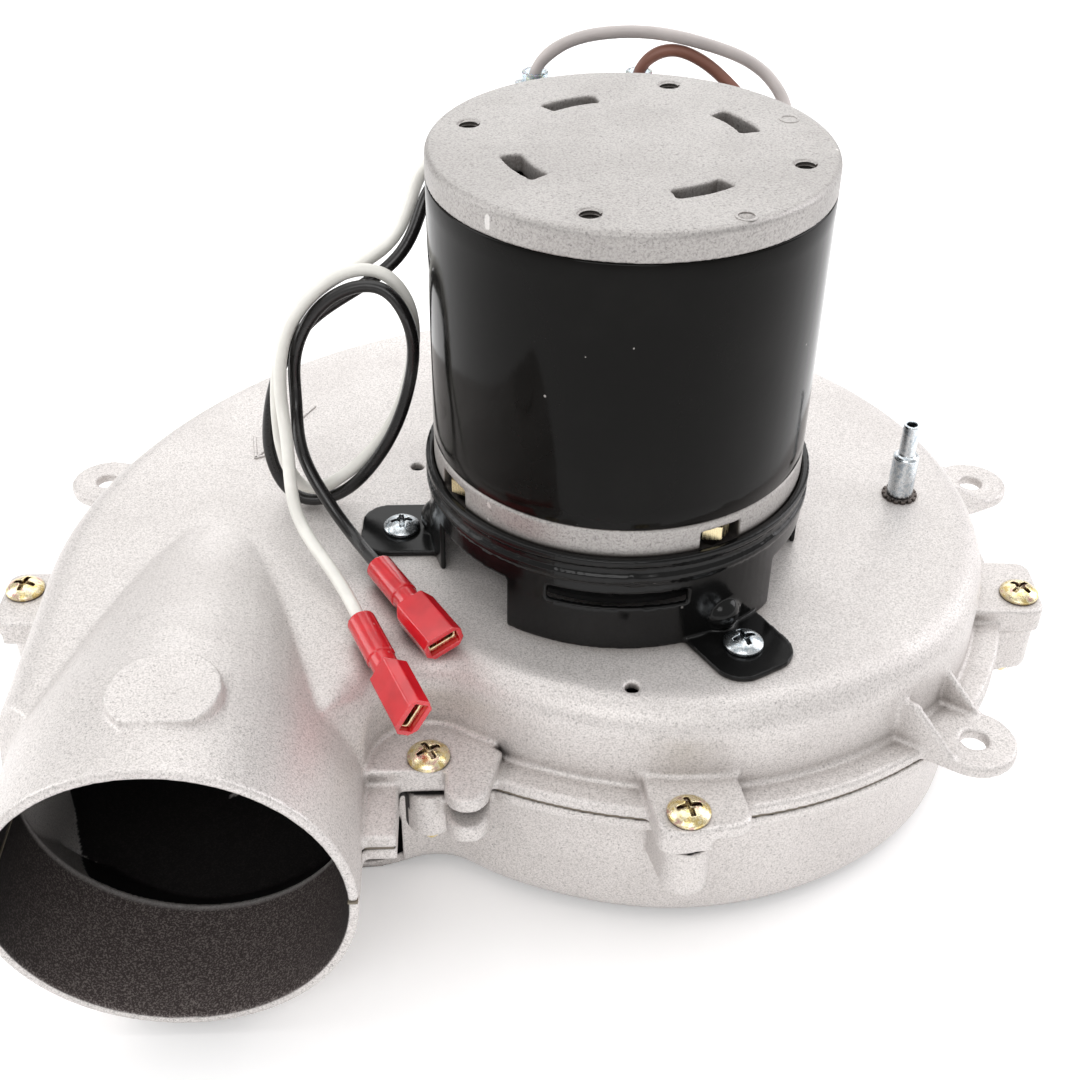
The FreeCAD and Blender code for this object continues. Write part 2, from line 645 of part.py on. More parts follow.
def bracket_foot():
    """Foot tab on the +X side: a flat tab with a rounded end and a domed rib at its bend."""
    z0 = CASING_H
    z1 = z0 + BRACKET_T
    tab = block(BRACKET_R - 4.0, FOOT_END_R, -FOOT_HALF_W, FOOT_HALF_W, z0, z1)
    tab = tab.makeFillet(6.5, [e for e in tab.Edges if is_upright(e, FOOT_END_R)])
    tab = tab.cut(cylinder(BRACKET_R - BRACKET_T, z0 - 1, z1 + 1))
    dome = Part.makeSphere(4.6, Vector(BRACKET_R - 2.1, 0, z1 + 3.3))
    dome = dome.cut(half_space(z0 - 20, z0)).cut(cylinder(BRACKET_R - BRACKET_T, z0 - 1, z0 + 20))
    return [tab, dome]


def motor_bracket():
    inner = BRACKET_R - BRACKET_T
    wall = ring(BRACKET_R, inner, CASING_H, BELL_Z)
    leg_gap = wedge(LEG_LEAD, 120 + LEG_TRAIL, CASING_H - 1, ARCH_Z)
    wall = cut_all(wall, around(leg_gap, FOOT_ANGLES))
    rim = ring(BRACKET_R + 0.7, inner, BELL_Z - 1.7, BELL_Z)
    bead = ring(BRACKET_R + 0.7, inner, BELL_Z - 6.0, BELL_Z - 4.2)
    floor = ring(inner + 0.1, 16.0, BRACKET_FLOOR_Z, BRACKET_FLOOR_Z + BRACKET_T)
    feet = []
    for angle in FOOT_ANGLES:
        feet += [turned(piece, angle) for piece in bracket_foot()]
    body = join([wall, rim, bead, floor] + feet)
    windows = []
    for angle in FOOT_ANGLES:
        opening = wedge(angle + SLOT_SPAN[0], angle + SLOT_SPAN[1], SLOT_Z[0], SLOT_Z[1])
        windows.append(opening.cut(cylinder(BRACKET_R - 3, SLOT_Z[0] - 1, SLOT_Z[1] + 1)))
    holes = [cylinder(2.3, CASING_H - 2, CASING_H + 4, p.x, p.y) for p in foot_centres()]
    return cut_all(body, windows + holes)


def foot_centres():
    return [polar(FOOT_PITCH_R, a) for a in FOOT_ANGLES]


def bracket_screws():
    screw = pan_screw(FOOT_HEAD_R, 2.8, 1.68, 9.0)
    turns = [20, 55, 5]
    seat = CASING_H + BRACKET_T
    placed = [moved(turned(screw, t), p.x, p.y, seat) for t, p in zip(turns, foot_centres())]
    return Part.makeCompound(placed)


def shaft_seal():
    body = ring(SHAFT_HOLE_R - 0.05, SHAFT_R + 0.08, CASING_H - 2.6, CASING_H + 0.1)
    lip = ring(SHAFT_HOLE_R + 3, SHAFT_R + 0.08, CASING_H, CASING_H + 1.0)
    return body.fuse(lip)


# --- impeller and cooling fan ---------------------------------------------------------------
def curved_blade(r0, r1, lean, thickness, z0, z1):
    """Blade whose mean line is an arc from radius r0 to r1, trailing by lean degrees."""
    sides = []
    for offset in (-thickness / 2, thickness / 2):
        start = Vector(r0, offset, z0)
        end = polar(r1, lean, z0) + Vector(0, offset, 0)
        middle = polar((r0 + r1) / 2, lean * 0.32, z0) + Vector(0, offset, 0)
        sides.append((start, middle, end))
    near, far = sides
    edges = [Part.Arc(*near).toShape(), Part.makeLine(near[2], far[2])]
    edges += [Part.Arc(*far).toShape(), Part.makeLine(far[0], near[0])]
    face = Part.Face(Part.Wire(Part.__sortEdges__(edges)))
    return face.extrude(Vector(0, 0, z1 - z0))


def impeller_blades():
    z0 = IMPELLER_Z[0] + IMPELLER_PLATE_T
    blade = curved_blade(BLADE_ROOT_R, IMPELLER_R - 1.5, -24, 1.1, z0, IMPELLER_Z[1])
    return Part.makeCompound(around(blade, steps(BLADE_COUNT)))


def impeller_backplate():
    z0 = IMPELLER_Z[1]
    return ring(IMPELLER_R, HUB_R - 2, z0, z0 + IMPELLER_PLATE_T)


def impeller_inlet_ring():
    z0 = IMPELLER_Z[0]
    return ring(IMPELLER_R, 37.5, z0, z0 + IMPELLER_PLATE_T)


def impeller_hub():
    z1 = IMPELLER_Z[1]
    hub = cylinder(HUB_R, HUB_Z, z1)
    step = cylinder(HUB_R - 2, z1 - 0.1, z1 + IMPELLER_PLATE_T + 4)
    bore = cylinder(SHAFT_R, 14, 100)
    return hub.fuse(step).cut(bore)


def impeller_nut():
    corners = [polar(5.6, a, 7.5) for a in steps(6)]
    nut = prism(corners, Vector(0, 0, 6.0)).cut(cylinder(3.0, 5, 20))
    return nut


def impeller_washer():
    return ring(7.5, 3.0, 13.5, 14.0)


def cooling_fan():
    hub = ring(8.0, SHAFT_R, FAN_Z - 2, FAN_Z + 6)
    disc = ring(FAN_R, 7.9, FAN_Z, FAN_Z + 1.2)
    blade = curved_blade(11.0, FAN_R - 1, 12, 1.2, FAN_Z + 1.1, FAN_Z + 6.5)
    return join([hub, disc] + around(blade, steps(FAN_BLADES)))


# --- capacitor ------------------------------------------------------------------------------
def oval(radius, z0, z1):
    """Upright oval prism about the capacitor's axis, whose flat sides face along Y."""
    left = cylinder(radius, z0, z1, CAP_X - CAN_HALF_FLAT, CAP_Y)
    right = cylinder(radius, z0, z1, CAP_X + CAN_HALF_FLAT, CAP_Y)
    middle = block(CAP_X - CAN_HALF_FLAT, CAP_X + CAN_HALF_FLAT, CAP_Y - radius, CAP_Y + radius, z0, z1)
    return join([left, right, middle])


def capacitor_can():
    can = oval(CAN_R, CASING_H, CAN_TOP - 1.5)
    rim = oval(CAN_R + 0.6, CAN_TOP - 3, CAN_TOP)
    return can.fuse(rim).cut(oval(CAN_R - 1.4, CAN_TOP - 1.6, CAN_TOP + 1))


def capacitor_top():
    lid = oval(CAN_R - 1.5, CAN_TOP - 1.5, CAN_TOP - 0.2)
    posts = [cylinder(4.2, CAN_TOP - 1, CAN_TOP + 2, x, CAP_Y) for x in terminal_xs()]
    slits = [block(x - 3.2, x + 3.2, CAP_Y - 0.42, CAP_Y + 0.42, CAN_TOP - 0.8, CAN_TOP + 3) for x in terminal_xs()]
    return cut_all(join([lid] + posts), slits)


def terminal_xs():
    return (CAP_X - TERMINAL_DX, CAP_X + TERMINAL_DX)


def capacitor_tabs():
    tabs = [block(x - 3.15, x + 3.15, CAP_Y - 0.4, CAP_Y + 0.4, CAN_TOP - 0.8, TERMINAL_TOP) for x in terminal_xs()]
    return Part.makeCompound(tabs)


def capacitor_strap():
    z0, z1 = STRAP_Z
    band = oval(CAN_R + STRAP_T, z0, z1).cut(oval(CAN_R, z0 - 1, z1 + 1))
    x0 = CAP_X + CAN_HALF_FLAT + CAN_R
    drop = block(x0 + STRAP_T * 0.2, x0 + STRAP_T * 1.2, CAP_Y - 5, CAP_Y + 5, CASING_H, z0 + 2)
    foot = block(x0 + 0.2, x0 + STRAP_FOOT, CAP_Y - 5, CAP_Y + 5, CASING_H, CASING_H + 1.2)
    hole = cylinder(2.2, 60, 70, strap_screw_x(), CAP_Y)
    return join([band, drop, foot]).cut(oval(CAN_R, 60, z1 + 1)).cut(hole)


def strap_screw_x():
    return CAP_X + CAN_HALF_FLAT + CAN_R + STRAP_T + STRAP_FOOT / 2


def strap_screw():
    return moved(turned(pan_screw(FOOT_HEAD_R, 2.8, 1.68, 9.0), 25), strap_screw_x(), CAP_Y, CASING_H + 1.2)


def flag_receptacles():
    """Brass flag receptacles pushed over the capacitor's tabs."""
    made = []
    for x in terminal_xs():
        shell = block(x - 3.7, x + 3.7, CAP_Y - 1.5, CAP_Y + 1.5, CAN_TOP + 3.5, TERMINAL_TOP + 1)
        hollow = block(x - 3.2, x + 3.2, CAP_Y - 0.45, CAP_Y + 0.45, CAN_TOP, TERMINAL_TOP + 0.1)
        barrel = cylinder(2.2, TERMINAL_TOP, TERMINAL_TOP + 3.6, x, CAP_Y)
        wire = cylinder(WIRE_R + 0.25, TERMINAL_TOP + 1.2, TERMINAL_TOP + 5, x, CAP_Y)
        made.append(shell.cut(hollow).fuse(barrel).cut(wire))
    return Part.makeCompound(made)


def flag_sleeves():
    """Clear insulating sleeves over the flag receptacles."""
    made = []
    for x in terminal_xs():
        outer = block(x - 4.8, x + 4.8, CAP_Y - 2.6, CAP_Y + 2.6, CAN_TOP + 2.6, TERMINAL_TOP + 2)
        outer = outer.makeFillet(1.6, [e for e in outer.Edges if abs(e.Vertexes[0].Z - e.Vertexes[1].Z) > 1])
        neck = cylinder(3.2, TERMINAL_TOP + 1, TERMINAL_TOP + 4.8, x, CAP_Y)
        inner = block(x - 3.8, x + 3.8, CAP_Y - 1.6, CAP_Y + 1.6, CAN_TOP, TERMINAL_TOP + 1.1)
        bore = cylinder(2.3, TERMINAL_TOP, TERMINAL_TOP + 6, x, CAP_Y)
        made.append(outer.fuse(neck).cut(inner).cut(bore))
    return Part.makeCompound(made)


# --- wires and their connectors -------------------------------------------------------------
def swept_wire(points, step=WIRE_SECTION_STEP):
    """Round wire lofted through circles carried along a smooth path without any twist."""
    path = Part.BSplineCurve()
    path.interpolate(points)
    length = path.length()
    run = length - step
    count = round(run / step)
    distances = [0] + [step / 2 + run * i / count for i in range(count + 1)] + [length]
    side = Vector(0, 0, 1)
    sections = []
    for distance in distances:
        spot = path.parameterAtDistance(distance, path.FirstParameter)
        way = path.tangent(spot)[0].normalize()
        side = (side - way * side.dot(way)).normalize()
        circle = Part.Wire(Part.makeCircle(WIRE_R))
        turn = FreeCAD.Rotation(side, way.cross(side), way, "ZXY")
        circle.Placement = FreeCAD.Placement(path.value(spot), turn)
        sections.append(circle)
    return Part.makeLoft(sections, True, False)


def loop_point(angle, forward=0.0, scale=1.0):
    a = radians(angle)
    return LOOP_CENTRE + LOOP_ACROSS * (cos(a) * scale) + LOOP_UP * (sin(a) * scale) + Vector(0, -forward, 0)


def exit_point(angle, dz, reach):
    return polar(MOTOR_R + reach, angle, LEAD_EXIT_Z + dz)


def into_connector(ends):
    start, end = ends
    way = (end - start).normalize()
    return [start - way * 10, start - way * 5, start, start + way * 4]


def black_lead():
    points = [exit_point(LEAD_EXITS[0], -LEAD_DZ, r) for r in (-3, 1, 5)]
    points += [Vector(-37.8, 36.4, 141.2), Vector(-42.0, 37.3, 137.4), Vector(-45.0, 34.3, 131.4)]
    points += [Vector(-49.0, 29.7, 125.0)]
    points += [loop_point(125, 0, 0.92), loop_point(150, 0, 0.98)]
    points += [loop_point(a) for a in (185, 215, 245, 275, 305, 335, 360)]
    points += [loop_point(a, 3.6) for a in (35, 65, 95, 120)]
    points += [loop_point(145, 2.7, 0.85), loop_point(172, 1.8, 0.63)]
    points += [Vector(-73.6, 8.6, 85.5), Vector(-69.0, 1.5, 78.0)]
    points += into_connector(BLACK_CONNECTOR)
    return swept_wire(points, BLACK_SECTION_STEP)


def white_lead():
    points = [exit_point(LEAD_EXITS[0], LEAD_DZ, r) for r in (-3, 1, 5)]
    points += [Vector(-38.2, 37.4, 145.2), Vector(-43.4, 40.4, 140.9), Vector(-46.9, 37.9, 133.6)]
    points += [Vector(-50.8, 33.4, 127.0)]
    points += [loop_point(118, -0.6, 1.11), loop_point(135, 2.2, 1.14), loop_point(150, 5.2, 1.06)]
    points += [loop_point(170, 5.1, 0.90), loop_point(192, 4.2, 0.82), loop_point(220, 3.9, 0.80)]
    points += [loop_point(250, 2.5, 0.85), loop_point(275, 0.6, 0.84), loop_point(293, -1.9, 0.88)]
    points += [loop_point(312, -3.4, 0.93), loop_point(340, -3.6, 0.98), loop_point(10, -3.1)]
    points += [loop_point(40, -0.4, 1.04), loop_point(70, 0.9, 1.08), loop_point(95, 1.6, 1.12)]
    points += [loop_point(118, 4.6, 1.20), loop_point(131, 6.6, 1.21)]
    points += [loop_point(146, 8.4, 1.06), loop_point(168, 8.9, 0.80)]
    points += [Vector(-76.2, 4.8, 88.5), Vector(-74.2, -6.0, 77.8), Vector(-66.8, -19.0, 72.5)]
    points += into_connector(WHITE_CONNECTOR)
    return swept_wire(points)


def grey_wire():
    x = terminal_xs()[0]
    points = [Vector(x, CAP_Y, TERMINAL_TOP + z) for z in (1.5, 3.0, 4.5)]
    points += [Vector(-15.2, CAP_Y, 158.6), Vector(-9.5, CAP_Y, 162.6), Vector(0, CAP_Y, 164.8)]
    points += [Vector(10, CAP_Y, 164.8), Vector(25, CAP_Y, 161.5), Vector(39, 61.2, 154.2)]
    points += [Vector(42.5, 55.5, 148.6)]
    points += [exit_point(LEAD_EXITS[1], LEAD_DZ, r) for r in (11, 6, 2, -3)]
    return swept_wire(points)


def brown_wire():
    x = terminal_xs()[1]
    points = [Vector(x, CAP_Y, TERMINAL_TOP + z) for z in (1.5, 3.0, 4.5)]
    points += [Vector(9.6, CAP_Y, 158.4), Vector(14.5, CAP_Y, 160.6), Vector(20.5, CAP_Y, 159.2)]
    points += [Vector(28, 61.8, 154), Vector(35, 57.5, 147)]
    points += [exit_point(LEAD_EXITS[1], -LEAD_DZ, r) for r in (11, 6, 2, -3)]
    return swept_wire(points)


def along(shape, ends, roll=0.0):
    """Puts a shape built along +X from the origin onto the line between two points."""
    start, end = ends
    way = (end - start).normalize()
    copy = shape.copy()
    copy.rotate(Vector(0, 0, 0), Vector(1, 0, 0), roll)
    turn = FreeCAD.Rotation(Vector(1, 0, 0), way)
    copy.Placement = FreeCAD.Placement(start, turn).multiply(copy.Placement)
    return copy


def connector_length():
    start, end = BLACK_CONNECTOR
    return (end - start).Length


def rod_x(radius, x0, x1):
    return rod(radius, Vector(x0, 0, 0), Vector(x1, 0, 0))


def connector_sleeve():
    length = connector_length()
    grip = rod_x(3.2, 0, length * 0.40)
    waist = rod_x(2.9, length * 0.38, length * 0.60)
    x0 = length * 0.52
    housing = block(x0, length, -4.6, 4.6, -2.9, 2.9)
    housing = housing.makeChamfer(1.6, [e for e in housing.Edges if e.Length > length * 0.4])
    shoulder = [Vector(x0 - 1, -8, -5), Vector(x0 - 1, -2.4, -5), Vector(x0 + 4, -6, -5), Vector(x0 + 4, -8, -5)]
    trim = prism(shoulder, Vector(0, 0, 10))
    trims = [trim, trim.mirror(Vector(0, 0, 0), Vector(0, 1, 0))]
    body = join([grip, waist, cut_all(housing, trims)])
    bore = rod_x(WIRE_R + 0.5, -1, length * 0.60)
    cavity = block(length * 0.56, length + 1, -3.5, 3.5, -1.6, 1.6)
    return body.cut(bore).cut(cavity)


def connector_sleeves():
    sleeve = connector_sleeve()
    return Part.makeCompound([along(sleeve, BLACK_CONNECTOR, BLACK_ROLL), along(sleeve, WHITE_CONNECTOR, WHITE_ROLL)])


def spade_receptacle():
    """Flat brass sleeve with its two long edges rolled in over the tab's space."""
    length = connector_length()
    x0 = length * 0.60
    x1 = length - 1.2
    outer = block(x0, x1, -3.4, 3.4, -1.5, 1.5)
    hollow = block(x0 + 1.5, x1 + 1, -2.9, 2.9, -0.45, 1.0)
    gap = block(x0 + 1.5, x1 + 1, -1.0, 1.0, 0, 3)
    return outer.cut(hollow).cut(gap)


def spade_receptacles():
    shape = spade_receptacle()
    return Part.makeCompound([along(shape, BLACK_CONNECTOR, BLACK_ROLL), along(shape, WHITE_CONNECTOR, WHITE_ROLL)])


# --- all pieces -----------------------------------------------------------------------------
def build():
    outer = scroll_body(0.0)
    inner = scroll_body(WALL)
    save("casing_upper", casing_upper(outer, inner))
    save("casing_lower", casing_lower(outer, inner))
    save("casing_seal", casing_seal(inner))
    races_out = bearing_part(BEARING_R, OUTER_RACE_R)
    races_in = bearing_part(INNER_RACE_R, SHAFT_R)
    save("lower_bearing_outer_race", races_out[0])
    save("upper_bearing_outer_race", races_out[1])
    save("lower_bearing_inner_race", races_in[0])
    save("upper_bearing_inner_race", races_in[1])
    save("lower_bearing_balls", bearing_balls(LOWER_BEARING_Z))
    save("upper_bearing_balls", bearing_balls(UPPER_BEARING_Z))
    makers = [casing_screws, pressure_tap, tap_washer, motor_shell, top_end_bell, bottom_end_bell,
              through_bolts, through_bolt_nuts, stator_core, stator_windings, shaft, rotor_core,
              rotor_end_rings, grommets, motor_bracket, bracket_screws, shaft_seal, impeller_blades,
              impeller_backplate, impeller_inlet_ring, impeller_hub, impeller_nut, impeller_washer,
              cooling_fan, capacitor_can, capacitor_top, capacitor_tabs, capacitor_strap, strap_screw,
              flag_receptacles, flag_sleeves, black_lead, white_lead, grey_wire, brown_wire,
              connector_sleeves, spade_receptacles]
    for maker in makers:
        save(maker.__name__, maker())


build()
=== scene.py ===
import json
import math
import bpy
import numpy as np
from mathutils import Matrix, Vector
from mathutils.bvhtree import BVHTree


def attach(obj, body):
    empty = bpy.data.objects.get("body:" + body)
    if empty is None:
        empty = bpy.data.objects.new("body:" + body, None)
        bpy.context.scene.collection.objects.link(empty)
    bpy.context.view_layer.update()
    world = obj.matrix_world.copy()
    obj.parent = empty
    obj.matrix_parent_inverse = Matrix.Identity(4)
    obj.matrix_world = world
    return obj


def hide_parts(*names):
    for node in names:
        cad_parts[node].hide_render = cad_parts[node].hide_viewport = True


# A combustion fan: split cast scroll, black upright motor on a stamped bracket, wired capacitor.
# Lengths are metres in the row frame: the motor's axis is Z and the outlet points along -Y.

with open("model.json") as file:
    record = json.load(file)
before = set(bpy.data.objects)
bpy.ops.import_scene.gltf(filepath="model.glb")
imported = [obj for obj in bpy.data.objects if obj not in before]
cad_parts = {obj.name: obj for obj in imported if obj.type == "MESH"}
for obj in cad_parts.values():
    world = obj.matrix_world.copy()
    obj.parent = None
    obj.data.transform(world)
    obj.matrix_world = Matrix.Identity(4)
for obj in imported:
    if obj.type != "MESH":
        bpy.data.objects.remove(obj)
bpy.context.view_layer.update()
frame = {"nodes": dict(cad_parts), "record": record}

MM = 0.001
TUBE_X = -95.2 * MM
TUBE_Z = 42.0 * MM
DUCT_R = 35.9 * MM
CASING_TOP = 66.0 * MM
MOTOR_R = 42.0 * MM
SHELL_Z = (96.7 * MM, 156.9 * MM)
SHELL_T = 1.2 * MM
MOTOR_TOP = 163.0 * MM
CAP_HOLE_ANGLE = 71.6
CAP_HOLE_PITCH_R = 34.8 * MM
CAP_HOLE_R = 2.3 * MM
THREAD_DEPTH = 3.4 * MM
THREAD_PITCH = 0.8 * MM
THREAD_STEPS = 28
PIN_MARK_R = 1.9 * MM
PIN_MARKS_MM = ((17.7, -34.9), (34.0, 12.5))
ARROW_TAIL_MM = (-75.9, 57.6)
ARROW_TIP_MM = (-88.8, 33.1)
ARROW_BARB = 9.5 * MM
ARROW_SPREAD = 36
ARROW_WIDTH = 0.9 * MM
ARROW_HEIGHT = 0.45 * MM

# The duct's bore, and the shade painted on it, fades out between these two places along Y.
BORE_END_Y = (-0.063, -0.061)

# Edge length of the casing's even mesh, and its smoothing passes overall and on the hump.
CASING_VOXEL = 0.00062
CASING_PASSES = 3
HUMP_PASSES = 45

LENS = 49.28
SHIFT = (0.0023, -0.0092)
CAMERA_PLACE = (-0.0320, -0.2843, 0.2774)
CAMERA_PITCH = 36.56
CAMERA_TURN = -0.049
CAMERA_ROLL = 0.014


# --- node graphs ----------------------------------------------------------------------------
class Graph:
    """A material's node graph, with short calls for the nodes used here."""

    def __init__(self, name):
        self.material = bpy.data.materials.new(name)
        self.material.use_nodes = True
        tree = self.material.node_tree
        self.nodes = tree.nodes
        self.links = tree.links
        self.bsdf = self.nodes["Principled BSDF"]
        self.place = self.nodes.new("ShaderNodeTexCoord").outputs["Object"]

    def put(self, value, socket):
        if isinstance(value, bpy.types.NodeSocket):
            self.links.new(value, socket)
        elif isinstance(value, (tuple, list)) and len(value) == 3 and socket.type == "RGBA":
            socket.default_value = (*value, 1.0)
        else:
            socket.default_value = value

    def set(self, **values):
        for key, value in values.items():
            self.put(value, self.bsdf.inputs[key.replace("_", " ")])

    def noise(self, grain, detail=3.0, roughness=0.55, stretch=None):
        """Noise between 0 and 1 whose lumps are about grain metres wide."""
        node = self.nodes.new("ShaderNodeTexNoise")
        node.inputs["Scale"].default_value = 1.0 / grain
        node.inputs["Detail"].default_value = detail
        node.inputs["Roughness"].default_value = roughness
        place = self.place
        if stretch:
            mapping = self.nodes.new("ShaderNodeMapping")
            mapping.inputs["Scale"].default_value = stretch
            self.links.new(self.place, mapping.inputs["Vector"])
            place = mapping.outputs["Vector"]
        self.links.new(place, node.inputs["Vector"])
        return node.outputs["Fac"]

    def cells(self, grain):
        """Distance to the nearest of scattered points about grain metres apart."""
        node = self.nodes.new("ShaderNodeTexVoronoi")
        node.inputs["Scale"].default_value = 1.0 / grain
        self.links.new(self.place, node.inputs["Vector"])
        return node.outputs["Distance"]

    def ramp(self, value, low, high, out_low=0.0, out_high=1.0):
        node = self.nodes.new("ShaderNodeMapRange")
        node.interpolation_type = "SMOOTHSTEP"
        self.put(value, node.inputs["Value"])
        node.inputs["From Min"].default_value = low
        node.inputs["From Max"].default_value = high
        node.inputs["To Min"].default_value = out_low
        node.inputs["To Max"].default_value = out_high
        return node.outputs["Result"]

    def math(self, operation, a, b=0.0):
        node = self.nodes.new("ShaderNodeMath")
        node.operation = operation
        self.put(a, node.inputs[0])
        self.put(b, node.inputs[1])
        return node.outputs["Value"]

    def mix(self, factor, a, b):
        node = self.nodes.new("ShaderNodeMix")
        node.data_type = "RGBA"
        self.put(factor, node.inputs["Factor"])
        self.put(a, node.inputs["A"])
        self.put(b, node.inputs["B"])
        return node.outputs["Result"]

    def bump(self, height, depth, normal=None):
        """Normal of a surface raised by height times depth metres."""
        node = self.nodes.new("ShaderNodeBump")
        node.inputs["Distance"].default_value = depth
        self.links.new(height, node.inputs["Height"])
        if normal:
            self.links.new(normal, node.inputs["Normal"])
        return node.outputs["Normal"]

    def attribute(self, name):
        node = self.nodes.new("ShaderNodeAttribute")
        node.attribute_name = name
        return node.outputs["Fac"]

    def edge_highlight(self, low=0.56, high=0.66):
        """1 on sharp outer edges, 0 on flats: the mask for painted highlights along edges."""
        node = self.nodes.new("ShaderNodeNewGeometry")
        return self.ramp(node.outputs["Pointiness"], low, high)

    def hollow(self, reach):
        """1 in the open, less in corners narrower than reach metres."""
        node = self.nodes.new("ShaderNodeAmbientOcclusion")
        node.inputs["Distance"].default_value = reach
        node.samples = 8
        return node.outputs["AO"]

    def spread(self):
        """X, Y and Z of the shaded point."""
        node = self.nodes.new("ShaderNodeSeparateXYZ")
        self.links.new(self.place, node.inputs["Vector"])
        return node.outputs


def duct_bore(g):
    """1 on the outlet duct's round bore, where painted shade goes."""
    place = g.spread()
    across = g.math("POWER", g.math("SUBTRACT", place["X"], TUBE_X), 2.0)
    up = g.math("POWER", g.math("SUBTRACT", place["Z"], TUBE_Z), 2.0)
    radius = g.math("SQRT", g.math("ADD", across, up))
    bore = g.ramp(radius, DUCT_R + 0.1 * MM, DUCT_R + 0.4 * MM, 1.0, 0.0)
    return g.math("MULTIPLY", bore, g.ramp(place["Y"], *BORE_END_Y, 1.0, 0.0))


def cast_metal(name, light, dark, grain, speckle, roughness, metallic, inner_shade=False):
    """Blasted casting: mottled metal with a fine dark speckle and a pitted skin; painted shade darkens its
    corners and recesses, a painted highlight lightens its sharp edges, and the inside can get painted shade.
    """
    g = Graph(name)
    fine = g.noise(grain, 3.0, 0.65)
    cloud = g.noise(grain * 60, 4.0, 0.55)
    pits = g.ramp(g.noise(grain * 1.4, 2.0, 0.6), 0.56, 0.72)
    colour = g.mix(g.ramp(fine, 0.32, 0.62), dark, light)
    colour = g.mix(g.math("MULTIPLY", pits, speckle), colour, tuple(c * 0.4 for c in dark))
    colour = g.mix(g.ramp(cloud, 0.40, 0.66, 0.0, 0.16), colour, dark)
    # painted shade: corners darkened towards brown and deep recesses nearly to black, from ambient occlusion
    corner_shade = g.ramp(g.hollow(0.005), 0.25, 0.9, 0.6, 0.0)
    colour = g.mix(corner_shade, colour, (0.23, 0.19, 0.165))
    deep = g.ramp(g.hollow(0.012), 0.22, 0.50, 0.9, 0.0)
    colour = g.mix(deep, colour, (0.030, 0.026, 0.024))
    # painted highlight: sharp edges lightened towards near white
    colour = g.mix(g.math("MULTIPLY", g.edge_highlight(), 0.5), colour, (0.90, 0.88, 0.86))
    rough = g.ramp(cloud, 0.3, 0.7, roughness - 0.05, roughness + 0.07)
    shine = metallic
    if inner_shade:
        # painted shade: surfaces inside the casing and the duct's bore darkened nearly to black with a fine
        # grit, with lighter painted light on the low part of the bore near its mouth
        inside = g.math("MAXIMUM", g.attribute("inside"), duct_bore(g))
        low = g.math("MULTIPLY", g.ramp(g.spread()["Z"], 0.006, 0.046, 1.0, 0.0), duct_bore(g))
        grit = g.ramp(g.noise(0.0004, 2.0, 0.6), 0.46, 0.66)
        shade_and_light_inside = g.mix(grit, (0.006, 0.005, 0.005), (0.022, 0.018, 0.018))
        shade_and_light_inside = g.mix(low, shade_and_light_inside, g.mix(grit, (0.070, 0.055, 0.053), (0.29, 0.25, 0.235)))
        colour = g.mix(inside, colour, shade_and_light_inside)
        rough = g.math("MAXIMUM", rough, g.math("MULTIPLY", inside, 0.62))
        shine = g.ramp(inside, 0.0, 1.0, metallic, 0.1)
    normal = g.bump(g.noise(grain * 1.3, 3.0, 0.65), grain * 0.20)
    normal = g.bump(cloud, 0.00025, normal)
    g.set(Base_Color=colour, Roughness=rough, Metallic=shine, Normal=normal)
    return g.material


def enamel(name, base, roughness, specular, dust=0.5):
    """Gloss black enamel: slight orange peel, faint grey film and a few dust specks."""
    g = Graph(name)
    film = g.ramp(g.noise(0.05, 5.0, 0.6), 0.42, 0.72)
    colour = g.mix(g.math("MULTIPLY", film, 0.5), base, tuple(c * 2.2 + 0.004 for c in base))
    specks = g.math("LESS_THAN", g.cells(0.0085), 0.035)
    colour = g.mix(g.math("MULTIPLY", specks, dust), colour, (0.55, 0.52, 0.50))
    rough = g.ramp(film, 0.0, 1.0, roughness, roughness + 0.08)
    peel = g.bump(g.noise(0.0022, 2.0, 0.4), 0.00001)
    g.set(Base_Color=colour, Roughness=rough, Normal=peel, Specular_IOR_Level=specular)
    return g.material


def plated(name, tints, roughness, corner_shade_tint, grain=0.0016):
    """Zinc plate with a drifting tint between three colours, painted shade in deep corners and painted shade
    along the outline.
    """
    g = Graph(name)
    first, second, third = tints
    drift = g.noise(grain, 2.0, 0.5)
    colour = g.mix(g.ramp(drift, 0.35, 0.52), first, second)
    colour = g.mix(g.ramp(drift, 0.54, 0.70), colour, third)
    # painted shade: deep corners darkened from ambient occlusion
    corner_shade = g.ramp(g.hollow(0.0022), 0.35, 0.85, 0.95, 0.0)
    colour = g.mix(corner_shade, colour, corner_shade_tint)
    # painted shade: the outline, where the surface is seen edge-on, darkened
    facing = g.nodes.new("ShaderNodeLayerWeight")
    facing.inputs["Blend"].default_value = 0.3
    rim = g.ramp(facing.outputs["Facing"], 0.55, 1.0, 0.0, 0.55)
    colour = g.mix(rim, colour, tuple(c * 0.3 for c in first))
    scuffs = g.noise(0.0004, 3.0, 0.6)
    rough = g.ramp(scuffs, 0.3, 0.75, roughness, roughness + 0.16)
    g.set(Base_Color=colour, Roughness=rough, Metallic=1.0, Normal=g.bump(scuffs, 0.00003))
    return g.material


def steel(name, base, roughness, stretch=(1.0, 1.0, 30.0), grain=0.004):
    """Machined or rolled steel with fine marks along one direction and dull patches."""
    g = Graph(name)
    marks = g.noise(grain, 4.0, 0.65, stretch)
    patch = g.noise(0.012, 3.0)
    colour = g.mix(g.ramp(marks, 0.3, 0.7), tuple(c * 0.72 for c in base), base)
    colour = g.mix(g.ramp(patch, 0.5, 0.75, 0.0, 0.3), colour, tuple(c * 0.55 for c in base))
    rough = g.ramp(marks, 0.25, 0.75, roughness - 0.06, roughness + 0.1)
    g.set(Base_Color=colour, Roughness=rough, Metallic=1.0, Normal=g.bump(marks, 0.00003))
    return g.material


